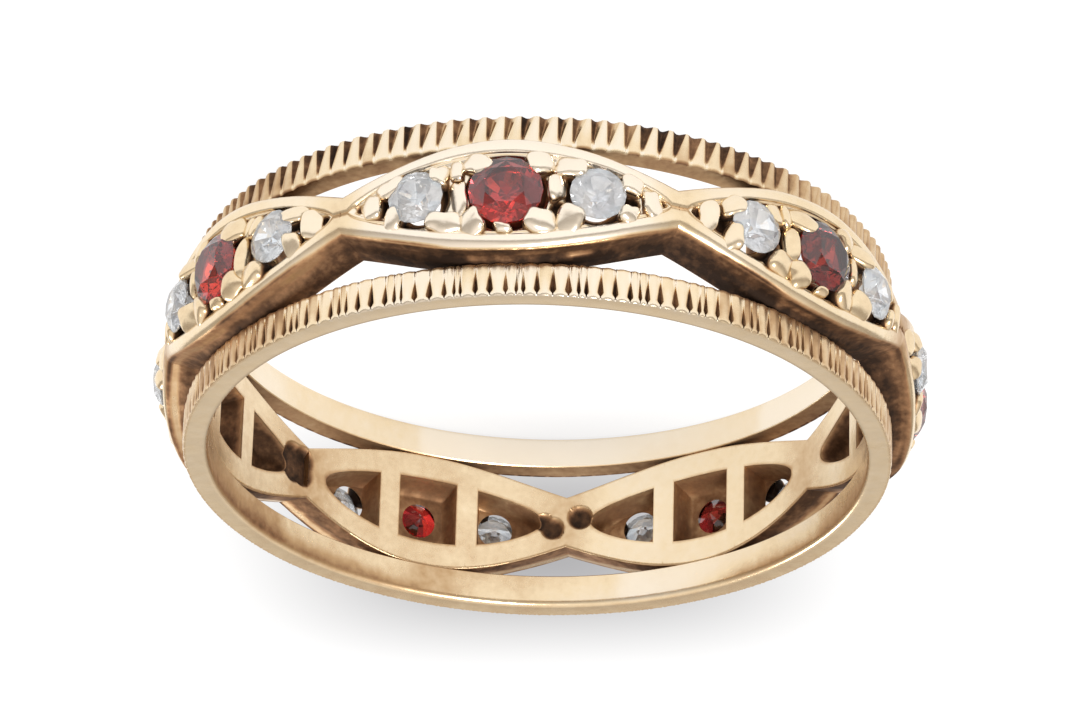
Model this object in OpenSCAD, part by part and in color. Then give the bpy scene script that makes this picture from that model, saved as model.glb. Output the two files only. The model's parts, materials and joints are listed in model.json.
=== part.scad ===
// Eternity band ring: two coin-edged rims with seven pointed settings between them,
// each setting holding one garnet between two small white stones.
// The ring lies on the side of its lower rim. Its axis is Z, and its first setting faces -Y.
// Lengths are in millimetres.

/* [Band] */
// Width of the hole for the finger
finger_d = 17.3; // [17:0.1:17.6]
// Width of the whole band along the finger
band_w = 5.16; // [5.1:0.02:5.3]
// Width of each rim along the finger
rim_w = 0.9; // [0.86:0.01:0.94]
// Thickness of each rim outwards from the finger
rim_t = 0.63; // [0.58:0.01:0.7]
// Height that the settings stand above the rims
rise = 0.65; // [0.6:0.01:0.7]
// Radius of the worn edge between a rim's side and the finger hole
edge_r = 0.14; // [0.05:0.01:0.2]

/* [Milling] */
// Notches round the lower rim
lower_notches = 133; // [119:7:147]
// Width of a notch of the lower rim at the rim's side
lower_notch_w = 0.26; // [0.2:0.01:0.3]
// Depth of a notch of the lower rim at the rim's side
lower_notch_t = 0.2; // [0.1:0.01:0.25]
// Groups of notches round the upper rim, each of three single notches and a narrow pair
upper_groups = 37; // [30:1:40]
// Width of a single notch of the upper rim
upper_notch_w = 0.18; // [0.14:0.01:0.2]
// Depth of a single notch of the upper rim
upper_notch_t = 0.17; // [0.1:0.01:0.2]

/* [Settings] */
// Settings round the band
setting_count = 7; // [7:1:7]
// Half of a setting's width at its middle
setting_mid = 1.58; // [1.54:0.01:1.6]
// Half of a setting's width where it meets the next one
setting_join = 0.56; // [0.52:0.01:0.6]
// Width of the raised border round the stones
border_w = 0.45; // [0.42:0.01:0.48]
// Depth of the sunk field inside the border
field_depth = 0.2; // [0.15:0.01:0.25]
// Thickness of the plate that the stones sit in
plate_t = 0.3; // [0.25:0.01:0.35]
// Width of the cross bars between the windows inside the band
bar_w = 0.6; // [0.5:0.01:0.7]

/* [Stones] */
// Width of a garnet across its girdle
garnet_d = 1.9; // [1.9:0.02:2]
// Width of a white stone across its girdle
white_d = 1.44; // [1.4:0.02:1.52]
// Angle round the band from a garnet to the white stone on each side of it
white_angle = 13.3; // [13.2:0.1:13.4]

/* [Hidden] */
// Radii of the rims, and the facets of a drawn circle
rim_in = finger_d / 2;
rim_out = rim_in + rim_t;
round_fn = 180;

// Notches: height of a cutter above the metal and past its side, where the lower rim's end, the boat's
// ends and its deepest place, as parts of the rim's width from the band's side, and the pair's place,
// width and depth beside a single one's
notch_lift = 0.12;
notch_past = 0.05;
wedge_to = 0.96;
boat_from = 0.96;
boat_deep = 0.3;
boat_to = 0.1;
pair_side = 0.2;
pair_wide = 0.6;
pair_deep = 0.7;

// Half of the band's width and of the space between the rims, and a wall's lap into a rim at its solder
mid_z = band_w / 2;
inner_z = mid_z - rim_w;
solder_lap = 0.04;

// Radii of the settings: inside and outside of the soldered walls, the lap of the part that stands out
// into them, border, field and the plate's inside
wall_in = rim_in + 0.05;
wall_out = rim_out - 0.08;
wall_lap = 0.3;
top_r = rim_out + rise;
field_r = top_r - field_depth;
plate_r = field_r - plate_t;

// Angle from one setting to the next, half of a setting's length, and the tab that laps into the next
step = 360 / setting_count;
half_step = step / 2;
reach = top_r * sin(half_step);
tab = 0.3;
tab_part = 0.7;
outline_parts = 16;

// Sunk field: half of its length, its width at its pointed end, and how full its sides are
field_tip = reach - 0.28;
field_end = 0.02;
field_power = 0.75;

// Windows inside the band: half of the middle one's length and width, the tip of the outer ones as an
// angle before the next setting, their width at the tip, and how full their sides are
window_y = 0.83;
window_z = setting_mid - 0.62;
window_tip = rim_in * sin(half_step - 4.3);
window_end = 0.03;
window_power = 0.55;
window_parts = 8;

// Shallow pits inside the band where two settings meet: width, depth, and each lobe's place
pit_d = 0.52;
pit_t = 0.3;
pit_y = 0.2;
pit_z = 0.12;

// Proportions of a round cut stone, as parts of its width, then of its crown's and pavilion's height
crown_part = 0.15;
table_part = 0.56;
pavilion_part = 0.4;
girdle_part = 0.03;
star_wide = 0.8;
star_high = 0.52;
kite_wide = 0.22;
kite_high = 0.24;

// Height of the stones' girdles above the field, the gap round a seat, the width of the hole under a
// stone, and how far that hole is cut past each side of the plate
girdle_lift = 0.25;
stone_gap = 0.06;
hole_d = 1;
hole_past = 0.1;

// Grains round the stones of half a setting: place along the setting, place across it, foot width
GRAIN_ALONG = 0;
GRAIN_ACROSS = 1;
GRAIN_D = 2;
GRAINS = [
    [0.9, 0.9, 0.5],
    [1.235, 0, 0.42],
    [1.53, 0.69, 0.38],
    [3.05, 0.47, 0.32],
    [3.52, 0, 0.4],
];
grain_foot = 0.12;
grain_top = 0.42;
grain_slope = 0.66;

// Half of a leaf's width at y along it: end + (mid - end) * cos(quarter turn * y / tip) ^ power
function half_width(y, tip, mid, end, power) =
    end + (mid - end) * pow(max(0, cos(90 * min(1, abs(y) / tip))), power);

// Closed outline of a leaf between two places along it: its upper edge forwards, its lower edge back
function leaf(tip, mid, end, power, from_y, to_y, parts) = let (
    edge = [for (i = [0:parts]) let (y = from_y + (to_y - from_y) * i / parts)
        [y, half_width(y, tip, mid, end, power)]]
) concat(edge, [for (i = [parts:-1:0]) [edge[i][0], -edge[i][1]]]);

// Outline of a setting, with a tab at each end that laps into the next setting
function setting_outline(mid) = let (
    whole = leaf(reach, mid, setting_join, 1, -reach, reach, outline_parts),
    tab_y = reach + tab,
    tab_z = setting_join * tab_part
) concat(
    [[-tab_y, -tab_z], [-tab_y, tab_z]],
    [for (i = [0:outline_parts]) whole[i]],
    [[tab_y, tab_z], [tab_y, -tab_z]],
    [for (i = [0:outline_parts]) whole[outline_parts + 1 + i]]
);

// Stands a child at a setting: local X points outwards, Y along the band and Z across it
module at_setting(k) {
    translate([0, 0, mid_z]) rotate([0, 0, k * step - 90]) children();
}

// Cuts a flat outline of Y along and Z across straight outwards, from radius r0 to r1
module outwards(points, r0, r1) {
    translate([r0, 0, 0])
        multmatrix([[0, 0, 1, 0], [1, 0, 0, 0], [0, 1, 0, 0], [0, 0, 0, 1]])
            linear_extrude(height = r1 - r0) polygon(points);
}

// Round plate about the band's axis, at the middle of the band's width
module disc(r, h) {
    translate([0, 0, mid_z - h / 2]) cylinder(r = r, h = h, $fn = round_fn);
}

// Wedge that leaves a three-cornered notch: deep and wide at the rim's side, nothing near its inner edge
module side_notch(angle) {
    grow = 1 + notch_lift / lower_notch_t;
    spread = lower_notch_w / 2 * grow;
    to_z = rim_w * wedge_to;
    rotate([0, 0, angle]) translate([rim_out, 0, 0])
        polyhedron(
            [[-lower_notch_t * (1 + notch_past / to_z), 0, -notch_past], [notch_lift, spread, -notch_past],
                [notch_lift, -spread, -notch_past], [notch_lift, 0, to_z * grow]],
            [[0, 2, 1], [0, 1, 3], [1, 2, 3], [2, 0, 3]]
        );
}

// Boat-shaped cutter: pointed towards the settings, widest and deepest near the band's side
module boat_notch(angle, wide, deep) {
    grow = 1 + notch_lift / deep;
    spread = wide / 2 * grow;
    deep_z = band_w - rim_w * boat_deep;
    from_z = deep_z - rim_w * (boat_from - boat_deep) * grow;
    to_z = deep_z + rim_w * (boat_deep - boat_to) * grow;
    rotate([0, 0, angle]) translate([rim_out, 0, 0])
        polyhedron(
            [[notch_lift, 0, from_z], [-deep, 0, deep_z], [notch_lift, spread, deep_z],
                [notch_lift, -spread, deep_z], [notch_lift, 0, to_z]],
            [[0, 2, 1], [0, 1, 3], [4, 1, 2], [4, 3, 1], [0, 3, 2], [4, 2, 3]]
        );
}

// One rim before it is milled, with its side at z = 0 and its worn edge there
module rim_blank() {
    arc = [for (a = [0:15:90]) [rim_in + edge_r * (1 - cos(a)), edge_r * (1 - sin(a))]];
    rotate_extrude($fn = round_fn)
        polygon(concat(arc, [[rim_out, 0], [rim_out, rim_w], [rim_in, rim_w]]));
}

module lower_rim() {
    difference() {
        rim_blank();
        for (i = [0:lower_notches - 1]) side_notch(360 * i / lower_notches - 90);
    }
}

module upper_rim() {
    slot = 360 / upper_groups / 4;
    difference() {
        translate([0, 0, band_w]) mirror([0, 0, 1]) rim_blank();
        for (i = [0:upper_groups - 1]) {
            for (j = [0:2]) boat_notch((4 * i + j) * slot - 90, upper_notch_w, upper_notch_t);
            for (side = [-1, 1])
                boat_notch((4 * i + 3 + pair_side * side) * slot - 90, upper_notch_w * pair_wide,
                    upper_notch_t * pair_deep);
        }
    }
}

// Ring of settings between two radii, each with the same outline
module setting_ring(mid, from_r, to_r) {
    intersection() {
        difference() {
            disc(to_r, band_w);
            disc(from_r, band_w + 1);
        }
        for (k = [0:setting_count - 1]) at_setting(k) outwards(setting_outline(mid), rim_in / 2, top_r + 1);
    }
}

// Sunk fields inside the borders
module fields() {
    difference() {
        for (k = [0:setting_count - 1]) at_setting(k)
            outwards(leaf(field_tip, setting_mid - border_w, field_end, field_power, -field_tip, field_tip,
                outline_parts), wall_out, top_r + 1);
        disc(field_r, band_w + 1);
    }
}

// Windows in the inner wall, below the plate: a square one in the middle and a pointed one each side
module windows() {
    outer = window_y + bar_w;
    spans = [[-window_y, window_y], [outer, window_tip], [-window_tip, -outer]];
    intersection() {
        disc(plate_r, band_w);
        for (k = [0:setting_count - 1], s = spans) at_setting(k)
            outwards(leaf(window_tip, window_z, window_end, window_power, s[0], s[1], window_parts),
                rim_in / 2, top_r);
    }
}

// Two-lobed pits on the inside, where two settings meet
module join_pits() {
    for (k = [0:setting_count - 1], side = [-1, 1]) at_setting(k + 0.5)
        translate([rim_in - pit_t, side * pit_y, side * pit_z]) rotate([0, 90, 0])
            cylinder(d = pit_d, h = wall_in - rim_in + 2 * pit_t, $fn = 24);
}

// Distance from the band's axis to a stone's lowest point
function culet_r(d) = field_r + girdle_lift - pavilion_part * d;

// Hole through the plate with a conical seat that follows a stone's pavilion with a small gap
module seat(d) {
    slope = 1 / (2 * pavilion_part);
    tip_r = culet_r(d) - stone_gap / slope;
    depth = field_r + girdle_lift - tip_r;
    translate([tip_r, 0, 0]) rotate([0, 90, 0])
        cylinder(r1 = 0, r2 = depth * slope, h = depth, $fn = 48);
    translate([plate_r - hole_past, 0, 0]) rotate([0, 90, 0])
        cylinder(d = hole_d, h = plate_t + 2 * hole_past, $fn = 48);
}

module seats() {
    for (k = [0:setting_count - 1]) at_setting(k) {
        seat(garnet_d);
        for (side = [-1, 1]) rotate([0, 0, side * white_angle]) seat(white_d);
    }
}

// Raised grains that hold the stones
module grains() {
    for (k = [0:setting_count - 1], g = GRAINS, end = [-1, 1], side = g[GRAIN_ACROSS] == 0 ? [1] : [-1, 1])
        at_setting(k) rotate([0, 0, end * asin(g[GRAIN_ALONG] / field_r)])
            translate([field_r - grain_foot, 0, side * g[GRAIN_ACROSS]]) rotate([0, 90, 0])
                cylinder(d1 = g[GRAIN_D], d2 = g[GRAIN_D] * grain_slope, h = grain_foot + grain_top,
                    $fn = 24);
}

// Settings with their borders, fields, windows, seats and grains
module settings() {
    difference() {
        union() {
            setting_ring(inner_z + solder_lap, wall_in, wall_out);
            setting_ring(setting_mid, wall_out - wall_lap, top_r);
        }
        fields();
        windows();
        join_pits();
        seats();
    }
    grains();
}

// All the gold, soldered into one piece
module gold_band() {
    color([0.87, 0.73, 0.52]) union() {
        lower_rim();
        upper_rim();
        union() settings();
    }
}

// Round cut stone with its culet at the origin and its table towards +X: a table, 8 stars, 8 kites
// and 16 upper halves on the crown, and 16 lower halves and 8 long kites below the girdle
module cut_stone(d) {
    r = d / 2;
    low_x = pavilion_part * d;
    high_x = low_x + girdle_part * d;
    ring = function(n, radius, x, turn) [for (i = [0:n - 1]) let (a = 360 * (i + turn) / n)
        [x, radius * cos(a), radius * sin(a)]];
    points = concat(
        ring(8, r * table_part, high_x + crown_part * d, 0.5),
        ring(8, r * star_wide, high_x + crown_part * d * star_high, 0),
        ring(16, r, high_x, 0),
        ring(16, r, low_x, 0),
        ring(8, r * kite_wide, low_x * kite_high, 0),
        [[0, 0, 0]]
    );
    // First point of each ring, and the culet
    table = 0;
    star = 8;
    high = 16;
    low = 32;
    kite = 48;
    tip = 56;
    next = function(i, n) (i + 1) % n;
    last = function(i, n) (i + n - 1) % n;
    polyhedron(points, concat(
        [[for (i = [7:-1:0]) table + i]],
        [for (i = [0:7]) [table + i, star + next(i, 8), star + i]],
        [for (i = [0:7]) [table + last(i, 8), table + i, star + i]],
        [for (i = [0:7]) [star + i, high + next(2 * i, 16), high + 2 * i]],
        [for (i = [0:7]) [star + i, high + 2 * i, high + last(2 * i, 16)]],
        [for (i = [0:7]) [star + i, star + next(i, 8), high + 2 * i + 1]],
        [for (i = [0:15]) [high + i, high + next(i, 16), low + next(i, 16)]],
        [for (i = [0:15]) [high + i, low + next(i, 16), low + i]],
        [for (i = [0:7]) [low + 2 * i, low + 2 * i + 1, kite + i]],
        [for (i = [0:7]) [low + 2 * i, kite + i, low + last(2 * i, 16)]],
        [for (i = [0:7]) [low + 2 * i + 1, kite + next(i, 8), kite + i]],
        [for (i = [0:7]) [kite + i, kite + next(i, 8), tip]]
    ));
}

module garnet(k) {
    color([0.55, 0.06, 0.07]) at_setting(k) translate([culet_r(garnet_d), 0, 0]) cut_stone(garnet_d);
}

module white_stone(k, side) {
    color([0.85, 0.88, 0.92]) at_setting(k) rotate([0, 0, side * white_angle])
        translate([culet_r(white_d), 0, 0]) cut_stone(white_d);
}

gold_band();
for (k = [1:setting_count]) {
    garnet(k - 1);
    white_stone(k - 1, -1);
    white_stone(k - 1, 1);
}
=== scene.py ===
"""Eternity band ring: milled rims, seven pointed settings, garnets between white stones, in worn pale gold.

Places round the band are angles from the middle of the first setting, which faces -Y. Places across it are
heights from the floor for the rims, and from the band's middle for a setting. Sizes are millimetres in the
arrays, and metres once they are in a mesh. A point's darkness goes from 0, polished, to 1, black: it holds
the gold's tarnish and wear, and in places painted shade, painted reflections and painted glints as well.
"""
import json
import math

import bmesh
import bpy
import numpy as np
from mathutils import Matrix, Vector


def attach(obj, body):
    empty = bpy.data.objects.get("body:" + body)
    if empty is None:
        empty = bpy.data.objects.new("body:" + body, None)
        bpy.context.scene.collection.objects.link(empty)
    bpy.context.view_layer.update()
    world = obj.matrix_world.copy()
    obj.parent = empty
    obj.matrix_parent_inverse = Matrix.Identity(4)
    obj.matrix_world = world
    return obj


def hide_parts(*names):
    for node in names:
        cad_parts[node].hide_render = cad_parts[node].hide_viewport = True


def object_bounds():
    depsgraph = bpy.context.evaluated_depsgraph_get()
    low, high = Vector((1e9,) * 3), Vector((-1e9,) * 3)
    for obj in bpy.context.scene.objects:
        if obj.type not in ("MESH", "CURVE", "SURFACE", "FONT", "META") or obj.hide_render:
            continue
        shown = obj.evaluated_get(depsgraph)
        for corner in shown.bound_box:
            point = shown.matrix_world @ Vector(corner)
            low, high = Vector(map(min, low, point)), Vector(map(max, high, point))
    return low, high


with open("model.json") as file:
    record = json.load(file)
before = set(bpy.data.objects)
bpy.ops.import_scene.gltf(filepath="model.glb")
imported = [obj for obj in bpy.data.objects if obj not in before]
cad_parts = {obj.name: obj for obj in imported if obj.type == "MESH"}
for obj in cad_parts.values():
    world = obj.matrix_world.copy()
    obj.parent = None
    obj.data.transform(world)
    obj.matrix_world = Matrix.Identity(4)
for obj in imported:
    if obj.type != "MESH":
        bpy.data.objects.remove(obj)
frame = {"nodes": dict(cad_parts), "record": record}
cad_low, cad_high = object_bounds()

MM = 0.001
TURN = 2 * math.pi

# Band: the finger hole and the band's width come from the frame, the rest is as in the solids
mounts = {m["name"]: m for m in frame["record"]["mounts"]}
rim_in = mounts["finger_bore"]["dims"]["r_mm"]
band_w = cad_high.z / MM
mid_z = band_w / 2
rim_w = 0.9
rim_t = 0.63
rim_out = rim_in + rim_t

# A rim's worn edge at the finger hole: its reach over the side face, and along the bore
edge_round = 0.1
edge_long = 0.16

# Settings: outside, field, plate and inner wall, half widths at the middle and at a join
setting_count = 7
beta = TURN / setting_count / 2
top_r = rim_out + 0.65
field_r = top_r - 0.2
plate_r = field_r - 0.3
wall_r = rim_in + 0.05
outer_mid = 1.58
inner_mid = 1.72
join_half = 0.56
inner_edge = 0.06
reach = top_r * math.sin(beta)
field_reach = reach - 0.2
field_mid = 1.13
tip_angle = math.asin(field_reach / top_r)

# Windows in the inner wall: half of the middle one's length, where an outer one begins and ends, half width
window_y = 0.83
window_from = 1.43
window_tip = rim_in * math.sin(beta - math.radians(4.3))
window_half = 0.96
WINDOWS = ((-window_tip, -window_from), (-window_y, window_y), (window_from, window_tip))
split_angle = math.asin((window_y + window_from) / 2 / wall_r)

# Stones, and the settings' seats for them: width across the girdle, angle from the setting's middle, gap
# round a stone at the field, and radius of the hole in the plate under it
garnet_d = 1.9
white_d = 1.44
white_angle = math.radians(13.3)
STONES = ((-white_angle, white_d), (0.0, garnet_d), (white_angle, white_d))
seat_gap = 0.035
hole_r = 0.5


def soft(low, high, x):
    """Soft step: 0 at low and before it, 1 at high and past it, and a cubic curve between."""
    t = np.clip((x - low) / (high - low), 0, 1)
    return t * t * (3 - 2 * t)


def bell(x, at, wide):
    """Bell curve: 1 at its place, and exp(-1) at that width to either side."""
    return np.exp(-((x - at) / wide) ** 2)


def wave(x, rng, size, turns):
    """Slow irregular curve over x: a sum of a few sines with drawn phases, of about that size."""
    phases = rng.uniform(0, TURN, len(turns))
    parts = [np.sin(t * x + p) / (i + 1) for i, (t, p) in enumerate(zip(turns, phases))]
    return size * sum(parts)


def shade_to_sides(theta):
    """Painted shade on the gold: least on the first setting, and growing darker and warmer to both sides of
    it.
    """
    turned = np.abs(np.mod(theta + math.pi, TURN) - math.pi)
    return 0.05 + 0.24 * soft(0.25, 0.85, turned)


def inner_warm_reflection(theta):
    """Painted warm reflection inside the band, round two places at the back: 1 in the middle of one, 0.6 in
    the other's.
    """
    return soft(0.35, 1.0, np.cos(theta - 2.3)) + 0.6 * soft(0.5, 1.0, np.cos(theta - 4.1))


def place(theta, r, z):
    """Points in metres at an angle round the band, a distance from its axis and a height."""
    turn = np.asarray(theta) - math.pi / 2
    x, y, up = np.broadcast_arrays(r * np.cos(turn), r * np.sin(turn), z)
    return np.stack([x, y, up], axis=-1) * MM


class Shell:
    """Blocks of points and faces that are welded into one closed mesh."""

    def __init__(self):
        self.points, self.faces, self.stains, self.count = [], [], [], 0

    def add(self, theta, r, z, stain):
        """Adds points and gives their numbers, in the arrays' own shape."""
        points = place(theta, r, z)
        self.points.append(points.reshape(-1, 3))
        self.stains.append(np.broadcast_to(stain, points.shape[:-1]).reshape(-1))
        numbers = self.count + np.arange(len(self.points[-1])).reshape(points.shape[:-1])
        self.count += numbers.size
        return numbers

    def skin(self, numbers, wrap=False, flip=False):
        """Covers a grid of points with two triangles to a cell; wrap joins its last column to its first."""
        g = np.concatenate([numbers, numbers[:, :1]], axis=1) if wrap else numbers
        a, b, c, d = g[:-1, :-1], g[:-1, 1:], g[1:, 1:], g[1:, :-1]
        faces = np.stack([a, b, c, a, c, d], axis=-1).reshape(-1, 3)
        self.faces.append(faces[:, ::-1] if flip else faces)

    def fan(self, numbers):
        """Covers an outline with triangles from its first point."""
        first = np.full(len(numbers) - 2, numbers[0])
        self.faces.append(np.stack([first, numbers[1:-1], numbers[2:]], axis=-1))

    def strip(self, outer, outer_at, inner, inner_at):
        """Closes the strip between two loops with unlike numbers of points, by the order of their angles.

        Each step goes on to the next point of either loop, and adds the triangle that it sweeps.
        """
        outer = outer[np.argsort(outer_at)]
        inner = inner[np.argsort(inner_at)]
        at = np.concatenate([np.sort(outer_at), np.sort(inner_at)])
        is_inner = np.repeat([False, True], [len(outer), len(inner)])[np.argsort(at, kind="stable")]
        i = np.cumsum(~is_inner) - 1
        j = np.cumsum(is_inner) - 1
        new = np.where(is_inner, inner[j], outer[i])
        old = np.where(is_inner, inner[j - 1], outer[i - 1])
        other = np.where(is_inner, outer[i], inner[j])
        self.faces.append(np.stack([old, new, other], axis=-1))

    def make(self, name, angle):
        """The welded mesh as an object, with outward normals, and edges sharper than the angle kept sharp."""
        points = np.concatenate(self.points)
        faces = np.concatenate(self.faces)
        stains = np.concatenate(self.stains)
        rounded = np.round(points / MM, 4)
        _, first, same = np.unique(rounded, axis=0, return_index=True, return_inverse=True)
        faces = same.reshape(-1)[faces]
        a, b, c = faces.T
        faces = faces[(a != b) & (b != c) & (c != a)]
        mesh = bpy.data.meshes.new(name)
        mesh.vertices.add(len(first))
        mesh.vertices.foreach_set("co", points[first].ravel())
        mesh.loops.add(faces.size)
        mesh.loops.foreach_set("vertex_index", faces.ravel())
        mesh.polygons.add(len(faces))
        mesh.polygons.foreach_set("loop_start", np.arange(0, faces.size, 3))
        mesh.update(calc_edges=True)
        stain = mesh.attributes.new("stain", "FLOAT", "POINT")
        stain.data.foreach_set("value", stains[first].astype(np.float32))
        work = bmesh.new()
        work.from_mesh(mesh)
        bmesh.ops.recalc_face_normals(work, faces=work.faces)
        work.to_mesh(mesh)
        work.free()
        mesh.shade_smooth()
        mesh.set_sharp_from_angle(angle=math.radians(angle))
        made = bpy.data.objects.new(name, mesh)
        bpy.context.scene.collection.objects.link(made)
        return made


# Rims

# Columns of a notch, as places across its cut (-1 to 1), and over the land after it (0 to 1)
CUT = np.array([-1.0, -0.6, -0.22, 0.22, 0.6, 1.0])
LAND = np.array([0.12, 0.32, 0.5, 0.68, 0.88])

# Rows of a milled face, from the rim's side face (0) to its inner side (1)
HEIGHTS = np.array([0.0, 0.03, 0.08, 0.14, 0.2, 0.28, 0.38, 0.5, 0.62, 0.74, 0.84, 0.9, 0.95, 1.0])


def palm_wear(theta):
    """How much the palm has worn the band: 1 at the back, and nothing in front."""
    return soft(0.1, -0.8, np.cos(theta))


def milled_face(rng, at, wide, deep, width_at, depth_at, shorter, slant, lip, facets, one_side_shade):
    """Angles, distances from the axis and darkness, tarnish with painted shade, of a rim's milled face, in
    arrays of a row for each height.

    Each notch has six columns across its cut and five on the land after it. At each height the cut's columns
    stand at the notch's own half width there, and go in by its depth there, less towards the cut's two edges:
    1 - |place| ** 1.3. The land bulges a little between the cuts, as a parabola. Up to shorter, a drawn
    factor ends some notches before the others. Slant moves a cut's narrow end along the rim, and lip raises
    the land beside a cut at the side face. Where the palm has worn them, notches are narrow and shallow.

    Facets are the darkness of a cut's columns, tarnish with painted shade: for the lower rim one facet lit
    and the other in shade, for the upper rim the cut's bottom darkest. They are drawn paler to the front's
    sides, but by one_side_shade they are painted dark from edge to edge on one of those sides, as painted
    shade.
    """
    count = len(at)
    rows = HEIGHTS[:, None]
    layers = HEIGHTS[:, None, None]
    palm = palm_wear(at)
    run_out = soft(0.55, 0.95, rows)
    short = rows * rng.uniform(1, shorter, count)
    half = wide * (1 - 0.4 * palm) / 2 * width_at(short)
    open_part = np.clip((half - 0.01) / 0.03, 0, 1)[:, :, None]
    half = np.maximum(half, 0.012 + 0.02 * run_out)
    depth = deep * (1 - 0.8 * palm) * np.maximum(depth_at(short), 0.15 * run_out)
    lean = rng.normal(0, 0.012, count) * rows + slant * (half[0] - half)
    centre = at + lean / rim_out
    left = centre - half / rim_out
    right = centre + half / rim_out
    after = np.roll(left, -1, axis=1)
    after[:, -1] += TURN
    cut = centre[:, :, None] + half[:, :, None] / rim_out * CUT
    land = right[:, :, None] + (after - right)[:, :, None] * LAND
    theta = np.concatenate([cut, land], axis=2).reshape(len(HEIGHTS), -1)

    cut_in = depth[:, :, None] * (1 - np.abs(CUT) ** 1.3)
    room = np.clip((after - right) * rim_out / 0.2, 0, 1)
    ridge = (0.055 * (1 - (2 * LAND - 1) ** 2) - 0.025) * ((1 - 0.9 * palm) * room)[:, :, None]
    lips = lip * np.exp(-layers / 0.05) * bell(np.minimum(LAND, 1 - LAND), 0, 0.16)
    worn_edges = -0.035 * np.exp(-layers / 0.03) - 0.02 * np.exp(-(1 - layers) / 0.025)
    out = rim_out + worn_edges + np.concatenate([-cut_in, ridge + lips], axis=2)
    out = out.reshape(len(HEIGHTS), -1) + wave(theta, rng, 0.012, (3, 7, 11, 17))

    # Painted shade: on one side of the front, a rim's cuts are drawn dark from edge to edge
    shade_on_one_side = one_side_shade * soft(-0.15, -0.4, np.sin(at)) * soft(0.55, 0.8, np.cos(at))
    # Cuts are drawn paler to the front's sides
    paler = 1 - (0.45 + 0.1 * one_side_shade - 0.4 * shade_on_one_side) * soft(0.95, 0.6, np.cos(at)) * (1 - palm)
    facets = np.maximum(facets, 0.7 * shade_on_one_side[:, None])
    cut_shade_and_tarnish = open_part * facets * (paler * rng.normal(1, 0.1, count))[:, None]
    tone = 0.22 * layers * rng.uniform(0, 1, count)[:, None] ** 2
    land_stain = 0.1 + 0.1 * (1 - np.sin(LAND * math.pi)) * open_part + tone
    stain = np.concatenate([cut_shade_and_tarnish, land_stain], axis=2).reshape(len(HEIGHTS), -1)
    # Painted shade along the face's edge at the inner side, added to the painted shade to the band's sides
    return theta, out, stain + shade_to_sides(theta) + 0.26 * soft(0.9, 1.0, rows)


def milled_rim(name, rng, face, warm, flipped):
    """A milled ring. Carried round the band are its worn edge, side face, milled face, inner side and bore.

    Face is what milled_face gives, and warm is the strength of the painted warm reflection in the bore. A
    flipped rim is the upper one, with its side face at the top.
    """
    theta, out, stain = face
    start, end = theta[0], theta[-1]
    worn = np.linspace(0, 1, 16)[:-1, None]
    side = np.linspace(0, 1, 8)[:-1, None]
    inner = np.linspace(0, 1, 7)[1:, None]
    bore = np.linspace(1, 0, 7)[:, None]

    side_r = rim_in + edge_round
    worn_r = rim_in + edge_round * (0.7 * worn ** 2 + 0.3 * worn ** 8)
    bore_end = 0.03
    bore_z = (rim_w - bore_end) * bore + edge_long * (1 - bore)
    bore_theta = end * bore + start * (1 - bore)

    # Painted reflections in the bore: lighter and darker panels, and the painted warm reflection inside the
    # band
    panels = 0.055 * np.tanh(4 * wave(bore_theta, rng, 1, (5, 11, 17)))
    bore_painted_light = 0.08 + warm * inner_warm_reflection(bore_theta) + panels
    # More painted warm reflection towards the bore's worn edge, except at the very back
    bore_painted_light = bore_painted_light + warm * (1 - bore) ** 2 * soft(0.97, 0.8, -np.cos(bore_theta))
    # The side face's tone, a little darker towards the back
    side_tone = 0.27 + 0.08 * soft(0.0, -1.0, np.cos(start))
    # The worn edge goes over from the bore's painted light to the side face's tone
    worn_edge_light_and_tone = bore_painted_light[-1] + (side_tone - bore_painted_light[-1]) * worn ** 2

    blocks = (
        (start, worn_r, edge_long * (1 - worn), worn_edge_light_and_tone),
        (start, side_r + (out[0] - side_r) * side, 0.006 * np.sin(side * math.pi), side_tone),
        (theta, out, rim_w * HEIGHTS[:, None], stain),
        # Inner side, facing the settings: drawn dark as painted shade
        (end, out[-1] + (rim_in + bore_end - out[-1]) * inner, rim_w, 0.52),
        # Bore: its painted light, a little darker towards the inner side
        (bore_theta, rim_in, bore_z, bore_painted_light + 0.06 * bore),
    )
    shell = Shell()
    numbers = np.concatenate([shell.add(at, r, band_w - z if flipped else z, s) for at, r, z, s in blocks])
    shell.skin(np.concatenate([numbers, numbers[:1]]), wrap=True)
    return shell.make(name, 32)


def lower_rim():
    """133 three-cornered notches, wide and deep at the rim's side, and running out towards the settings."""
    count = 133
    draw = np.random.default_rng(11)
    at = np.arange(count) * TURN / count + draw.normal(0, 0.0014, count)
    wide = 0.31 * draw.normal(1, 0.09, count)
    deep = 0.13 * draw.normal(1, 0.1, count)

    def width_at(h):
        """Share of the full half width: straight down to nothing."""
        return np.clip(1 - h / 0.96, 0, 1)

    def depth_at(h):
        """Share of the full depth."""
        return np.clip(1 - h / 0.98, 0, 1) ** 0.8

    # Painted shade in a cut, with tarnish, across it: its first facet lit and its second in shade
    facets = np.array([0.28, 0.32, 0.45, 0.72, 0.76, 0.7])
    rng = np.random.default_rng(12)
    face = milled_face(rng, at, wide, deep, width_at, depth_at, shorter=1.05, slant=0.8, lip=0.0,
                       facets=facets, one_side_shade=1.0)
    return milled_rim("lower_rim", rng, face, warm=0.08, flipped=False)


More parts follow.
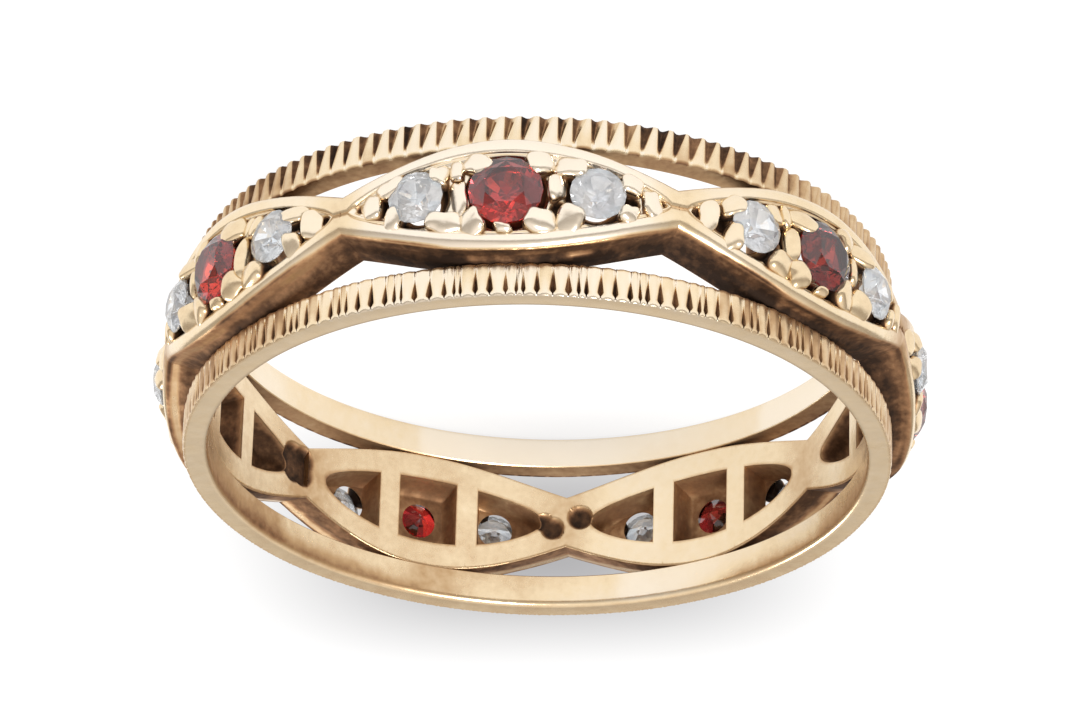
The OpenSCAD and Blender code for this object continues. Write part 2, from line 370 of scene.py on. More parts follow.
def upper_rim():
    """Boat-shaped notches: three single ones and a narrow pair, 37 times round the rim."""
    groups = 37
    slot = TURN / groups / 4
    group = np.array([0, 1, 2, 2.88, 3.34]) * slot
    is_pair = np.tile([0, 0, 0, 1, 1], groups)
    count = len(is_pair)
    draw = np.random.default_rng(21)
    at = (np.arange(groups)[:, None] * 4 * slot + group).ravel() + draw.normal(0, 0.001, count)
    wide = np.where(is_pair, 0.11, 0.15) * draw.normal(1, 0.14, count)
    deep = 0.19 * draw.normal(1, 0.1, count)

    def width_at(h):
        """Share of the full half width: nothing at the side, full a fifth of the way in, and running out."""
        return soft(0.02, 0.22, h) * np.clip((0.97 - h) / 0.75, 0, 1) ** 1.15

    def depth_at(h):
        """Share of the full depth."""
        return width_at(h) ** 0.7

    # Painted shade in a cut, with tarnish, across it: darkest at its bottom
    facets = np.array([0.3, 0.6, 0.74, 0.78, 0.72, 0.42])
    rng = np.random.default_rng(22)
    face = milled_face(rng, at, wide, deep, width_at, depth_at, shorter=1.35, slant=0.0, lip=0.05,
                       facets=facets, one_side_shade=0.0)
    return milled_rim("upper_rim", rng, face, warm=0.26, flipped=True)


# Settings

# Columns of one setting, as angles: the necks, the two ends and the middle
NECK = np.linspace(-beta, -tip_angle, 15)[:-1]
END = np.linspace(-tip_angle, -split_angle, 45)[:-1]
MIDDLE = np.linspace(-split_angle, split_angle, 45)
COLUMNS = np.concatenate([NECK, END, MIDDLE, -END[::-1], -NECK[::-1]])

# Columns round each of its three stones: in the field between its tips, and in the inner wall with the necks
end_from = len(NECK)
middle_from = end_from + len(END)
middle_to = middle_from + len(MIDDLE) - 1
FIELD_PARTS = (COLUMNS[end_from:middle_from + 1], MIDDLE, COLUMNS[middle_to:-end_from])
WALL_PARTS = (COLUMNS[:middle_from + 1], MIDDLE, COLUMNS[middle_to:])

# Points on each of the two sides of a closed outline, between its edges; the field's outer tips have none
side_points = 27

# Fades what is drawn for one setting to nothing at its joins
LEVEL = np.cos(COLUMNS / beta * math.pi / 2)

# Border's rows from the field's edge (0) to the outside (1), and how far they lie below the band's outside
BORDER_AT = np.array([0.0, 0.06, 0.12, 0.2, 0.34, 0.5, 0.62, 0.72, 0.82, 0.9, 0.96, 1.0])[:, None]
BORDER_DROP = np.array([0.0, 0.07, 0.022, 0.004, 0.0, 0.002, 0.012, 0.032, 0.06, 0.09, 0.125, 0.17])[:, None]

# Side wall's rows: how far they lie below the band's outside
WALL_DROP = np.array([0.27, 0.37, 0.47, 0.55, 0.63, 0.69, 0.75, 0.83, 0.93, 1.03, 1.13, 1.185])[:, None]

# Window walls' rows: how far they lie out from the inner wall, and how far they come in, as a share of a
# window's half size, which is about 0.9
POCKET_RISE = np.array([0.02, 0.07, 0.2, 0.35, 0.5, 0.63, 0.71])[:, None]
POCKET_TAPER = np.array([0.0, 0.02, 0.04, 0.06, 0.1, 0.15, 0.22])[:, None] / 0.9

# Each setting's own look: how far its field lies below its border, the tarnish on its side walls, the painted
# sheen that lightens them just below the border, and the tarnish in its windows
SUNK = (0.08, 0.13, 0.12, 0.14, 0.12, 0.13, 0.14)
GRIME = (0.84, 0.66, 0.68, 0.6, 0.62, 0.8, 0.84)
SHEEN_BELOW_BORDER = (0.0, 0.1, 0.28, 0.2, 0.2, 0.12, 0.06)
SOOT = (0.7, 0.74, 0.84, 0.62, 0.64, 0.78, 0.72)

# Pits of the field: angle from the setting's middle in degrees, place across it, radius and depth
PITS = ((18.4, 0.04, 0.24, 0.2), (22.7, -0.04, 0.12, 0.12), (7.6, 0.0, 0.1, 0.08), (-7.7, 0.36, 0.2, 0.2),
        (-18.6, 0.06, 0.18, 0.2), (-23.2, 0.0, 0.09, 0.16), (-9.9, -0.4, 0.16, 0.14))

# Shallow pits inside the band at the joins, from the first setting's join on: lobes as place along the band
# from the join, place across it, and radius
JOIN_PITS = (
    ((0.36, 0.14, 0.26), (-0.34, -0.12, 0.24)),
    ((-0.36, 0.1, 0.27), (0.32, -0.12, 0.22)),
    ((-0.55, -0.3, 0.36), (-0.2, -0.3, 0.36), (-0.55, 0.08, 0.36), (-0.2, 0.08, 0.36)),
    ((0.38, -0.12, 0.3), (-0.38, 0.2, 0.28), (-0.62, 0.02, 0.22)),
    (),
    ((0.34, -0.14, 0.25), (-0.34, 0.12, 0.24)),
    ((-0.33, 0.16, 0.24), (0.36, -0.1, 0.26)),
)


def half_width(theta, r, mid):
    """Half of a setting's width: its value at the join, and a quarter wave up to its middle."""
    y = np.minimum(np.abs(r * np.sin(theta)) / reach, 1)
    return join_half + (mid - join_half) * np.cos(y * math.pi / 2)


def wall_mid(r):
    """Half of a wall's width at the setting's middle: it flares towards the rims below their outside."""
    return outer_mid + (inner_mid - outer_mid) * soft(rim_out + 0.12, rim_out - 0.1, r)


def field_half(theta):
    """Half of the field's width: the same leaf as in the solids, cos ** 0.75, and nothing in the necks."""
    y = np.minimum(np.abs(top_r * np.sin(theta)) / field_reach, 1)
    return field_mid * np.cos(y * math.pi / 2) ** 0.75


def field_surface(theta, z, pits, sunk):
    """Distance of the field from the band's axis: just below the border, with an engraved line round it.

    It goes down beside each stone, and in the pits of a table, by bell curves.
    """
    edge = field_half(theta) - np.abs(z)
    line = soft(tip_angle + 0.004, tip_angle - 0.03, np.abs(theta))
    drop = sunk * soft(0.0, 0.12, edge) * line + 0.02 + 0.05 * line * bell(edge, 0, 0.045)
    for angle, d in STONES:
        off = np.hypot((theta - angle) * top_r, z) - d / 2
        drop = drop + 0.16 * bell(np.maximum(off, 0), 0, 0.1)
    for angle, across, size, depth in pits:
        off = np.hypot((theta - angle) * top_r, z - across)
        drop = drop + depth * np.exp(-(off / size) ** 4)
    return top_r - np.minimum(drop, 0.34)


def join_pit(theta, z):
    """How deep a place inside the band is in a join's pit: 1 within a lobe, and 0 past its soft edge."""
    deep = np.zeros_like(theta)
    for join, lobes in enumerate(JOIN_PITS):
        along = (np.mod(theta - (2 * join + 1) * beta + math.pi, TURN) - math.pi) * rim_in
        for x, across, size in lobes:
            off = np.hypot(along - x, z - across)
            deep = np.maximum(deep, soft(size + 0.09, size - 0.09, off))
    return deep


def to_joins(values, k):
    """A setting's own value along its columns, going over to the mean with its neighbour's at each join."""
    near = soft(0.6, 1.0, np.abs(COLUMNS) / beta) / 2
    beside = np.where(COLUMNS > 0, values[(k + 1) % setting_count], values[k - 1])
    return values[k] * (1 - near) + beside * near


def loop(columns, half, right=side_points, left=side_points):
    """Closed outline of that half width: the upper edge forwards, down the right side, back, and up the left.

    Right and left are the numbers of points on those two sides.
    """
    down = np.linspace(1, -1, right + 2)[1:-1] * half[-1]
    up = np.linspace(-1, 1, left + 2)[1:-1] * half[0]
    theta = np.concatenate([columns, np.full(right, columns[-1]), columns[::-1], np.full(left, columns[0])])
    return theta, np.concatenate([half, down, -half[::-1], up])


def flank(shell, k, turn, side, pits, lean, rng):
    """One side of a setting, over all its columns: the border, the wall down from it, and the inner edge.

    The border starts at the field's own surface, and leans in and out by a drawn wave. Gives the numbers of
    all its points.
    """
    edge = field_half(COLUMNS)
    outline = half_width(COLUMNS, top_r, outer_mid) + lean
    border_z = side * (edge + (outline - edge) * BORDER_AT)
    join = soft(0.14, 0.0, BORDER_AT)
    border_r = (top_r - BORDER_DROP) * (1 - join) + field_surface(COLUMNS, side * edge, pits, SUNK[k]) * join
    border_r = border_r + 0.012 * np.sin(BORDER_AT * 3) * wave(COLUMNS * 9, rng, 1, (1, 1.7)) * LEVEL
    neck = 0.2 * bell(np.abs(COLUMNS), beta, 0.09)
    scratch = np.clip(wave(COLUMNS * 9, rng, 0.6, (1, 2.3)), 0, 0.7) * LEVEL * bell(BORDER_AT, 0.93, 0.05)
    # Painted shade where the border meets the field, and on its outer chamfer
    edges = 0.2 * np.exp(-BORDER_AT / 0.05) + 0.35 * soft(0.88, 1.0, BORDER_AT)
    border = shell.add(COLUMNS + turn, border_r, mid_z + border_z,
                       shade_to_sides(COLUMNS + turn) + neck + scratch + edges)

    r = top_r - WALL_DROP
    wall_z = half_width(COLUMNS, r, wall_mid(r)) - 0.02 + lean * soft(wall_r, top_r - 0.2, r)
    # Painted glints and sheen taken off the walls' tarnish, and golden spots mostly on the first setting
    glint = np.clip(wave(COLUMNS * 14, rng, 0.4, (1, 2.7)), 0, 0.25) * LEVEL * bell(WALL_DROP, 0.43, 0.07)
    spots = (0.7 if k == 0 else 0.12) * soft(-0.2, 0.8, wave(COLUMNS * 26, rng, 0.6, (1, 1.7, 2.3)))
    spots = spots * bell(COLUMNS, -0.08, 0.2) * bell(WALL_DROP, 0.6, 0.07)
    # The painted light, with a lighter band just below the border
    rub_and_painted_light = glint + spots + to_joins(SHEEN_BELOW_BORDER, k) * soft(0.49, 0.37, WALL_DROP)
    # Tarnish, a little darker at each wall's middle and lower down towards the rims, less the painted light
    wall_tarnish_and_glints = to_joins(GRIME, k) + 0.1 * bell(COLUMNS, 0, 0.16) + 0.1 * soft(0.48, 0.68, WALL_DROP) - rub_and_painted_light
    wall = shell.add(COLUMNS + turn, r, mid_z + side * wall_z, wall_tarnish_and_glints)

    under_r = np.array([wall_r + 0.015, wall_r])[:, None]
    under_z = half_width(COLUMNS, wall_r, inner_mid) - np.array([0.035, inner_edge])[:, None]
    under = shell.add(COLUMNS + turn, under_r, mid_z + side * under_z, 0.4)
    rows = np.concatenate([border, wall, under])
    shell.skin(rows)
    return rows


def field_and_seat(shell, k, turn, which, pits):
    """The field round one stone, from its outline in to the gap, and the seat down to the hole in the plate.

    Its rows are shares of the way from the stone's circle to the outline. Gives the hole's points and their
    angles round the stone.
    """
    angle, d = STONES[which]
    columns = FIELD_PARTS[which]
    right = 0 if which == 2 else side_points
    left = 0 if which == 0 else side_points
    theta, z = loop(columns, field_half(columns), right, left)
    facing = np.arctan2(z, (theta - angle) * top_r)
    size = d / 2 + seat_gap
    share = np.concatenate([np.linspace(0, 0.35, 9), np.linspace(0.35, 1, 14)[1:]])[:, None]
    rows_theta = (angle + size * np.cos(facing) / top_r) * (1 - share) + theta * share
    rows_z = size * np.sin(facing) * (1 - share) + z * share
    rows_r = field_surface(rows_theta, rows_z, pits, SUNK[k])
    edge = field_half(rows_theta) - np.abs(rows_z)
    # Darker where the field lies deeper, beside the stones and in the pits, tarnish with painted shade, and
    # along its engraved edge
    stain = 0.08 + 0.85 * soft(0.08, 0.24, top_r - rows_r) + 0.3 * bell(edge, 0, 0.04)
    shell.skin(shell.add(rows_theta + turn, rows_r, mid_z + rows_z, stain), wrap=True)

    seat_size = np.array([size, (size + hole_r) / 2 + 0.03, hole_r + 0.03, hole_r])[:, None]
    seat_r = np.array([0, plate_r + 0.155, plate_r + 0.06, plate_r])[:, None] + 0 * facing
    seat_r[0] = rows_r[0]
    # The seat drawn dark at its top, as painted shade round the stone's edge
    seat_shade = np.array([0.9, 0.72, 0.25, 0.45])[:, None]
    seat = shell.add(angle + seat_size * np.cos(facing) / top_r + turn, seat_r,
                     mid_z + seat_size * np.sin(facing), seat_shade)
    shell.skin(seat, wrap=True, flip=True)
    return seat[-1], facing


def inside(shell, k, turn, which, hole, hole_at):
    """The inner wall round one window, the window's own walls, and the inside of the plate to a stone's hole.

    The window is a leaf, cos ** 0.55, cut off by the bars. Rows go over from one outline to the next in
    equal shares.
    """
    angle = STONES[which][0]
    columns = WALL_PARTS[which]
    theta, z = loop(columns, half_width(columns, wall_r, inner_mid) - inner_edge)
    y_from, y_to = WINDOWS[which]
    y = y_from + (y_to - y_from) * (columns - columns[0]) / (columns[-1] - columns[0])
    leaf = np.cos(np.minimum(np.abs(y) / window_tip, 1) * math.pi / 2) ** 0.55
    window_theta, window_z = loop(np.arcsin(y / wall_r), 0.03 + (window_half - 0.03) * leaf)

    share = np.linspace(0, 1, 15)[:, None]
    face_theta = theta * (1 - share) + window_theta * share
    face_z = z * (1 - share) + window_z * share
    pit = join_pit(face_theta + turn, face_z)
    face_r = wall_r + 0.17 * pit
    # Painted shade near the window's edge, and a little darker towards the joins
    rub_and_painted_light = 0.16 * bell(share, 1, 0.07) + 0.1 * soft(0.6, 1.0, np.abs(face_theta) / beta)
    # Tarnish with the painted warm reflection, the painted shade and the dark join pits
    face_tarnish_and_painted_light = 0.2 + 0.16 * inner_warm_reflection(face_theta + turn) + rub_and_painted_light + 0.5 * pit
    face = shell.add(face_theta + turn, face_r, mid_z + face_z, face_tarnish_and_painted_light)

    pocket_theta = angle + (window_theta - angle) * (1 - POCKET_TAPER)
    pocket_z = window_z * (1 - POCKET_TAPER)
    pocket_stain = 0.48 + (SOOT[k] - 0.5) * soft(0.02, 0.12, POCKET_RISE)
    pocket = shell.add(pocket_theta + turn, np.maximum(wall_r + POCKET_RISE, face_r[-1]), mid_z + pocket_z,
                       pocket_stain)

    last_theta, last_z = pocket_theta[-1], pocket_z[-1]
    facing = np.arctan2(last_z, (last_theta - angle) * plate_r)
    share = np.linspace(0, 1, 8)[1:, None]
    plate_theta = last_theta * (1 - share) + (angle + hole_r * np.cos(facing) / top_r) * share
    plate_z = last_z * (1 - share) + hole_r * np.sin(facing) * share
    plate = shell.add(plate_theta + turn, plate_r, mid_z + plate_z, SOOT[k])
    shell.skin(np.concatenate([face, pocket, plate]), wrap=True)
    shell.strip(hole, hole_at, plate[-1], facing)


def setting(k, rng):
    """One setting as a closed shell, from the middle of one neck to the middle of the next.

    Its two flanks lean by drawn waves that fade at the joins, and every second setting has its pits mirrored.
    """
    shell = Shell()
    turn = k * TURN / setting_count
    mirror = -1 if k % 2 else 1
    lean = {side: wave(COLUMNS * 8, rng, 0.016, (1, 2.3, 3.7)) * LEVEL for side in (1, -1)}
    pits = [(mirror * math.radians(angle), across + rng.normal(0, 0.03), size, depth)
            for angle, across, size, depth in PITS]
    rows = {side: flank(shell, k, turn, side, pits, lean[side], rng) for side in (1, -1)}
    for end in (0, -1):
        shell.fan(np.concatenate([rows[1][:, end], rows[-1][::-1, end]]))
    for which in range(len(STONES)):
        hole, hole_at = field_and_seat(shell, k, turn, which, pits)
        inside(shell, k, turn, which, hole, hole_at)
    return shell.make("setting_%d" % (k + 1), 38)


# Grains of one setting: angle from its middle in degrees, place across it, half length along the band, half
# width across it, height above the border, and turn in degrees
GRAINS = np.array([
    (20.7, -0.02, 0.28, 0.42, 0.03, 0),
    (17.2, -0.41, 0.36, 0.30, 0.12, 12),
    (16.9, 0.46, 0.24, 0.37, 0.14, -12),
    (9.9, -0.57, 0.24, 0.31, 0.15, 15),
    (7.4, -0.64, 0.22, 0.32, 0.08, 5),
    (4.3, -0.77, 0.42, 0.32, 0.17, -28),
    (6.7, 0.12, 0.22, 0.50, 0.13, 3),
    (8.8, 0.78, 0.44, 0.33, 0.14, 0),
    (4.7, 0.84, 0.31, 0.37, 0.19, 25),
    (0.6, 1.02, 0.26, 0.12, 0.12, 0),
    (-4.9, -0.80, 0.35, 0.34, 0.19, 15),
    (-9.5, -0.76, 0.42, 0.27, 0.12, -12),
    (-7.0, -0.10, 0.23, 0.35, 0.14, -5),
    (-5.0, 0.85, 0.38, 0.37, 0.19, -20),
    (-9.3, 0.72, 0.36, 0.37, 0.12, 0),
    (-18.2, -0.38, 0.30, 0.29, 0.14, -10),
    (-18.2, 0.42, 0.29, 0.25, 0.13, 10),
    (-21.7, 0.04, 0.30, 0.42, 0.04, 0),
])

# How much each grain may differ from its row of the table, as the spread of a draw
GRAIN_SPREAD = np.array([0.22, 0.025, 0.02, 0.02, 0.015, 8])

# Rows of a grain from its foot to the middle of its top: share of its outline, and share of its height
GRAIN_SIZE = np.array([0.0, 0.94, 1.05, 1.04, 1.0, 0.93, 0.83, 0.7, 0.5, 0.25, 0.0])[:, None]
GRAIN_RISE = np.array([-0.4, -0.4, -0.2, 0.4, 0.63, 0.78, 0.89, 0.97, 1.03, 1.06, 1.07])[:, None]


def grains():
    """Raised grains of metal that lap over the stones' edges.

    Each is a low block with soft shoulders: a slightly square outline, the superellipse of power 2.7, made
    uneven by drawn waves, and a nearly flat top that climbs towards the nearest stone. Its foot is sunk in
    the field. Every second setting has them mirrored.
    """
    rng = np.random.default_rng(31)
    mirror = np.array([-1, 1, 1, 1, 1, -1])
    rows = np.concatenate([GRAINS * (mirror if k % 2 else 1) for k in range(setting_count)])
    turn = np.repeat(np.arange(setting_count) * TURN / setting_count, len(GRAINS))[:, None, None]
    each = (len(rows), 1, 1)
    rows = rows + rng.normal(0, 1, rows.shape) * GRAIN_SPREAD
    angle, across, long, wide, high, twist = (c[:, None, None] for c in rows.T)
    angle, twist = np.radians(angle), np.radians(twist)

    # Way to the nearest stone
    ways = [((a - angle) * top_r, -across) for a, d in STONES]
    far = [np.hypot(x, z) - d / 2 for (x, z), (a, d) in zip(ways, STONES)]
    nearest = [distance == np.minimum.reduce(far) for distance in far]
    way_x = sum(pick * x / np.hypot(x, z) for pick, (x, z) in zip(nearest, ways))
    way_z = sum(pick * z / np.hypot(x, z) for pick, (x, z) in zip(nearest, ways))

    u = np.linspace(0, TURN, 33)[:-1]
    square = (np.abs(np.cos(u)) ** 2.7 + np.abs(np.sin(u)) ** 2.7) ** (-1 / 2.7)
    waves = ((2, 0.06), (3, 0.07), (4, 0.04), (5, 0.03), (7, 0.015))
    uneven = 1 + sum(rng.normal(0, size, each) * np.cos(count * u + rng.uniform(0, TURN, each))
                     for count, size in waves)
    out = GRAIN_SIZE * square * uneven
    a, b = long * out * np.cos(u), wide * out * np.sin(u)
    along = a * np.cos(twist) - b * np.sin(twist)
    over = a * np.sin(twist) + b * np.cos(twist)
    slope_x = 0.4 * way_x + rng.normal(0, 0.07, each)
    slope_z = 0.4 * way_z + rng.normal(0, 0.07, each)
    foot = 0.2
    height = top_r - foot + (high + foot) * GRAIN_RISE
    height = height + np.clip(GRAIN_RISE, 0, 1) * (slope_x * along + slope_z * over)
    # Painted shade on each grain's lower sides and foot, with the painted shade to the band's sides
    stain = 0.03 + shade_to_sides(angle + turn) + 0.8 * soft(0.66, 0.25, GRAIN_RISE)
    shell = Shell()
    for grid in shell.add(angle + along / top_r + turn, height, mid_z + across + over, stain):
        shell.skin(grid, wrap=True)
    return shell.make("grains", 50)


# Materials


class Value:
    """A shader's number or colour in Python arithmetic: each operation adds its Math node."""

    def __init__(self, nodes, socket):
        self.nodes, self.socket = nodes, socket

    def math(self, operation, first, second):
        """A Math node's result."""
        return self.nodes.node("ShaderNodeMath", {"operation": operation}, {0: first, 1: second})

    def __add__(self, other):
        return self.math("ADD", self, other)

    def __mul__(self, other):
        return self.math("MULTIPLY", self, other)

    def __sub__(self, other):
        return self.math("SUBTRACT", self, other)

    def __rsub__(self, other):
        return self.math("SUBTRACT", other, self)

    def __pow__(self, other):
        return self.math("POWER", self, other)

    __radd__ = __add__
    __rmul__ = __mul__


class Nodes:
    """A node tree. node() adds any node: its kind, its settings, and its sockets' values or links."""

    def __init__(self, tree):
        self.tree = tree
        self.tree.nodes.clear()

    def node(self, kind, settings=None, sockets=None, out=0):
        """Adds a node and gives one of its outputs. The setting stops is a ramp's places and colours."""
        made = self.tree.nodes.new(kind)
        for key, value in (settings or {}).items():
            if key == "stops":
                ramp = made.color_ramp.elements
                ramp[0].position, ramp[0].color = value[0]
                ramp[1].position, ramp[1].color = value[-1]
                for at, colour in value[1:-1]:
                    ramp.new(at).color = colour
            else:
                setattr(made, key, value)
        for key, value in (sockets or {}).items():
            if isinstance(value, Value):
                self.tree.links.new(value.socket, made.inputs[key])
            else:
                made.inputs[key].default_value = value
        return Value(self, made.outputs[out]) if made.outputs else None

    def vector(self, operation, first, second=None, out=0):
        """A Vector Math node's result."""
        sockets = {0: first} if second is None else {0: first, 1: second}
        return self.node("ShaderNodeVectorMath", {"operation": operation}, sockets, out)

    def place(self):
        """The object's own coordinates in millimetres."""
        here = self.node("ShaderNodeTexCoord", out="Object")
        return self.vector("MULTIPLY", here, (1 / MM,) * 3)

    def noise(self, where, scale, detail=2.0, rough=0.5, warp=0.0):
        """Noise of about 0.5 with that many waves to a millimetre."""
        sockets = {"Vector": where, "Scale": scale, "Detail": detail, "Roughness": rough, "Distortion": warp}
        return self.node("ShaderNodeTexNoise", None, sockets)

    def step(self, value, low, high):
        """Soft step of a value from 0 at low to 1 at high."""
        sockets = {"Value": value, "From Min": low, "From Max": high}
        return self.node("ShaderNodeMapRange", {"interpolation_type": "SMOOTHSTEP"}, sockets)

    def mix(self, share, a, b):
        """Colour a, going over to b by the share."""
        sockets = {"Factor": share, "A": a, "B": b}
        return self.node("ShaderNodeMix", {"data_type": "RGBA"}, sockets, out="Result")

    def ramp(self, stops, value):
        """Colour at a value between the stops, which are places and colours."""
        return self.node("ShaderNodeValToRGB", {"stops": stops}, {0: value})

    def patches(self, where, scale):
        """Flat patches of drawn values, in cells of about that many to a millimetre."""
        return self.node("ShaderNodeTexVoronoi", None, {"Vector": where, "Scale": scale}, out="Color")


class Finish(Nodes):
    """A material's nodes."""

    def __init__(self, name):
        self.material = bpy.data.materials.new(name)
        self.material.use_nodes = True
        super().__init__(self.material.node_tree)

    def surface(self, **sockets):
        """The material, with a principled surface of these sockets, their names' spaces as underscores."""
        named = {key.replace("_", " "): value for key, value in sockets.items()}
        shader = self.node("ShaderNodeBsdfPrincipled", None, named)
        self.node("ShaderNodeOutputMaterial", None, {"Surface": shader})
        return self.material


# Gold from polished to black, by how dark a point is drawn: tarnish, and in places painted shade
GOLD_STOPS = (
    (0.0, (0.91, 0.82, 0.7, 1)),
    (0.16, (0.88, 0.77, 0.615, 1)),
    (0.3, (0.82, 0.66, 0.44, 1)),
    (0.46, (0.56, 0.37, 0.2, 1)),
    (0.62, (0.33, 0.18, 0.09, 1)),
    (0.8, (0.12, 0.06, 0.03, 1)),
    (1.0, (0.035, 0.018, 0.01, 1)),
)

# Garnet's painted facet reflections, patches from plum to bright red, and the dark red that a deeper stone is
# mixed with
GARNET_STOPS = (
    (0.25, (0.2, 0.035, 0.04, 1)),
    (0.42, (0.5, 0.03, 0.03, 1)),
    (0.58, (0.8, 0.035, 0.03, 1)),
    (0.75, (1.0, 0.1, 0.05, 1)),
)
GARNET_DARK = (0.05, 0.01, 0.012, 1)

# White stones' painted facet reflections and shade, patches from grey through clear to faintly blue
WHITE_STOPS = (
    (0.3, (0.8, 0.83, 0.88, 1)),
    (0.42, (1, 1, 1, 1)),
    (0.62, (1, 1, 1, 1)),
    (0.75, (0.86, 0.93, 1, 1)),
)

# Middle and half size of the painted shadow on the floor, in millimetres
PAINTED_SHADOW_MIDDLE = (1.6, 15.5, 0)
PAINTED_SHADOW_HALF = (9, 8)


def gold():
    """Pale gold, polished and worn, with brown tarnish by each point's drawn darkness and noise; that
    darkness also carries painted shade, painted reflections and painted glints.
    """
    f = Finish("worn_gold")
    here = f.place()
    stain = f.node("ShaderNodeAttribute", {"attribute_name": "stain"}, out="Fac")
    bands = f.noise(f.vector("MULTIPLY", here, (0.6, 0.6, 0.22)), 1.0, 2, 0.5, 0.4)
    blotch = f.noise(here, 1.3, 3, 0.5, 0.3)
    spots = f.noise(here, 4.5, 3, 0.55)
    grain = f.noise(here, 16, 3, 0.6)
    mottle = (bands - 0.5) * 0.34 + (blotch - 0.5) * 0.4 + (spots - 0.5) * 0.42
    # Darkness with noise: tarnish, with the painted shade and highlights that the meshes carry
    worn = stain + mottle * (0.08 + 1.5 * stain * stain)
    colour = f.ramp(GOLD_STOPS, worn)
    mask = f.step(worn, 0.3, 0.75)
    rough = 0.16 + grain * 0.08 + bands * 0.08 + mask * 0.48
    height = f.noise(here, 0.9, 2, 0.5) + f.noise(here, 3.2, 2, 0.5) * 0.16 + (0.03 + mask * 0.3) * grain
    bump = f.node("ShaderNodeBump", None, {"Strength": 0.5, "Distance": 0.05 * MM, "Height": height})
    return f.surface(Base_Color=colour, Metallic=1 - mask * 0.25, Roughness=rough, Normal=bump)


def garnet(name, bright):
    """Clear red, with painted facet reflections in patches of plum, deep and bright red.

    Bright is the share of these painted reflections, and the rest is dark red.
    """
    f = Finish(name)
    colour = f.ramp(GARNET_STOPS, f.patches(f.place(), 1.7))
    colour = f.mix(bright, GARNET_DARK, colour)
    return f.surface(Base_Color=colour, Roughness=0.03, IOR=1.8, Transmission_Weight=0.95,
                     Specular_IOR_Level=0.3)


def white_stone():
    """Clear, with painted facet reflections and shade in patches of grey, white and faint blue; a little dull
    in places.
    """
    f = Finish("white_stone")
    here = f.place()
    rub_and_painted_light = f.step(f.noise(here, 3.0, 3, 0.6), 0.5, 0.75)
    colour = f.ramp(WHITE_STOPS, f.patches(here, 2.4))
    return f.surface(Base_Color=colour, Roughness=0.02 + rub_and_painted_light * 0.08, IOR=2.1, Transmission_Weight=0.77)


def floor_finish():
    """White and a little luminous, with a soft grey painted shadow on the ring's far side from the camera.

    The painted shadow's outline is between an ellipse and a box: the cube root of the sum of both places'
    cubes.
    """
    f = Finish("floor")
    off = f.vector("SUBTRACT", f.place(), PAINTED_SHADOW_MIDDLE)
    off = f.vector("ABSOLUTE", f.vector("MULTIPLY", off, (1 / PAINTED_SHADOW_HALF[0], 1 / PAINTED_SHADOW_HALF[1], 0)))
    cube = f.vector("MULTIPLY", off, f.vector("MULTIPLY", off, off))
    far = f.vector("DOT_PRODUCT", cube, (1, 1, 0), out="Value") ** (1 / 3)
    # Painted shadow of the ring, from 0 outside to 1 in its middle
    shade = f.step(far, 1.4, 0.05)
    base = f.mix(shade, (0.12, 0.12, 0.12, 1), (0.06, 0.06, 0.062, 1))
    glow = f.mix(shade, (1, 1, 1, 1), (0.34, 0.34, 0.352, 1))
    return f.surface(Base_Color=base, Roughness=0.7, Emission_Color=glow, Emission_Strength=0.95)


# Camera, floor and light

# Fitted camera: its turn round the band's axis from -Y, its rise above the floor and its distance from the
# origin, then how far its picture is tilted and rolled in radians, and its lens in millimetres
view_turn = math.radians(5.6)
view_rise = 0.4962
view_far = 167.9 * MM
view_tilt = -0.0111
view_roll = -0.0276
view_lens = 210.2

floor_r = 1.2


def camera():
    """The camera stands above the floor at the photograph's angle to the ring, turned over as it is there.

    Its axes are first along and across its look at the origin, and then turned by the tilt and the roll.
    """
    side = np.array([-math.sin(view_turn), -math.cos(view_turn), 0])
    up = np.array([0, 0, 1.0])
    forward = -(math.cos(view_rise) * side + math.sin(view_rise) * up)
    right = np.array([-math.cos(view_turn), math.sin(view_turn), 0])
    down = math.cos(view_rise) * up - math.sin(view_rise) * side
    cos_tilt, sin_tilt = math.cos(view_tilt), math.sin(view_tilt)
    cos_roll, sin_roll = math.cos(view_roll), math.sin(view_roll)
    tilt = np.array([[1, 0, 0], [0, cos_tilt, sin_tilt], [0, -sin_tilt, cos_tilt]])
    roll = np.array([[cos_roll, sin_roll, 0], [-sin_roll, cos_roll, 0], [0, 0, 1]])
    x, y, z = roll @ tilt @ np.stack([right, down, forward])
    made = bpy.data.objects.new("camera", bpy.data.cameras.new("camera"))
    bpy.context.scene.collection.objects.link(made)
    matrix = Matrix.Identity(4)
    for i, column in enumerate((x, -y, -z, -forward * view_far)):
        for j in range(3):
            matrix[j][i] = column[j]
    made.matrix_world = matrix
    made.data.sensor_width = 36
    made.data.lens = view_lens
    made.data.clip_start = 0.01
    made.data.clip_end = 20
    bpy.context.scene.camera = made


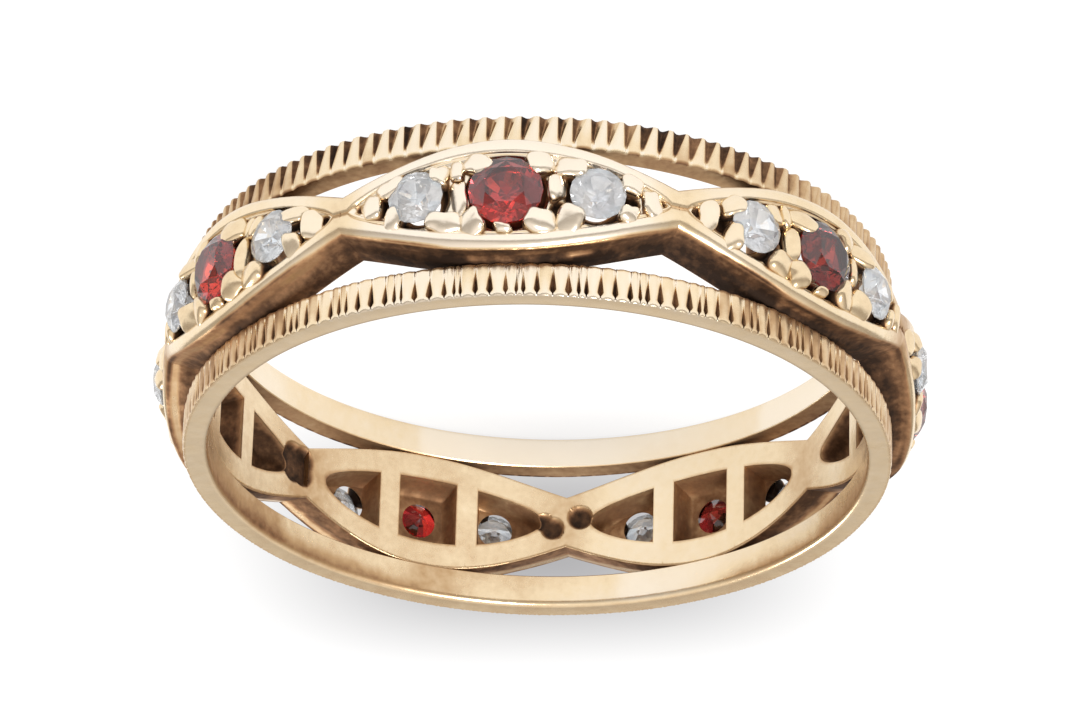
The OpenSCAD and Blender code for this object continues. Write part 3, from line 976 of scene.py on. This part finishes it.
def area(name, where, size, power):
    """A round white lamp that looks at the origin, with its width in metres and its power in watts."""
    data = bpy.data.lights.new(name, "AREA")
    data.shape = "DISK"
    data.size = size
    data.energy = power
    made = bpy.data.objects.new(name, data)
    made.location = where
    made.rotation_euler = (-Vector(where)).to_track_quat("-Z", "Y").to_euler()
    bpy.context.scene.collection.objects.link(made)


def studio():
    """Soft warm light that grows from the horizon to the top, with a key and a fill lamp."""
    world = bpy.data.worlds.new("studio")
    bpy.context.scene.world = world
    world.use_nodes = True
    f = Nodes(world.node_tree)
    upward = f.vector("DOT_PRODUCT", f.node("ShaderNodeTexCoord", out="Generated"), (0, 0, 1), out="Value")
    light = f.mix(f.step(upward, -0.05, 1.0), (0.4, 0.365, 0.33, 1), (1.05, 1.0, 0.95, 1))
    background = f.node("ShaderNodeBackground", None, {"Color": light})
    f.node("ShaderNodeOutputWorld", None, {"Surface": background})
    area("key", (-0.12, -0.2, 0.3), size=0.14, power=0.9)
    area("fill", (0.2, 0.16, 0.2), size=0.12, power=0.3)
    bpy.context.scene.view_settings.view_transform = "Standard"


def floor():
    """A wide round floor that the ring lies on."""
    bpy.ops.mesh.primitive_circle_add(vertices=96, radius=floor_r, fill_type="NGON", location=(0, 0, 0))
    made = bpy.context.object
    made.name = "floor"
    made.data.materials.append(floor_finish())


camera()
gold_finish = gold()
pieces = [lower_rim(), upper_rim(), grains()]
rng = np.random.default_rng(5)
pieces += [setting(k, rng) for k in range(setting_count)]
for piece in pieces:
    piece.data.materials.append(gold_finish)
    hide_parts("gold_band")
    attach(piece, "root")

# Looks by the start of a node's name, the later ones over the earlier: two garnets are deeper than the rest
deep_garnet = garnet("deep_garnet", 0.28)
finishes = {
    "garnet": garnet("garnet", 1.0),
    "white": white_stone(),
    "garnet_7": deep_garnet,
    "garnet_5": deep_garnet,
}
for name, node in frame["nodes"].items():
    for start, finish in finishes.items():
        if name.startswith(start):
            node.data.materials.clear()
            node.data.materials.append(finish)
floor()
studio()
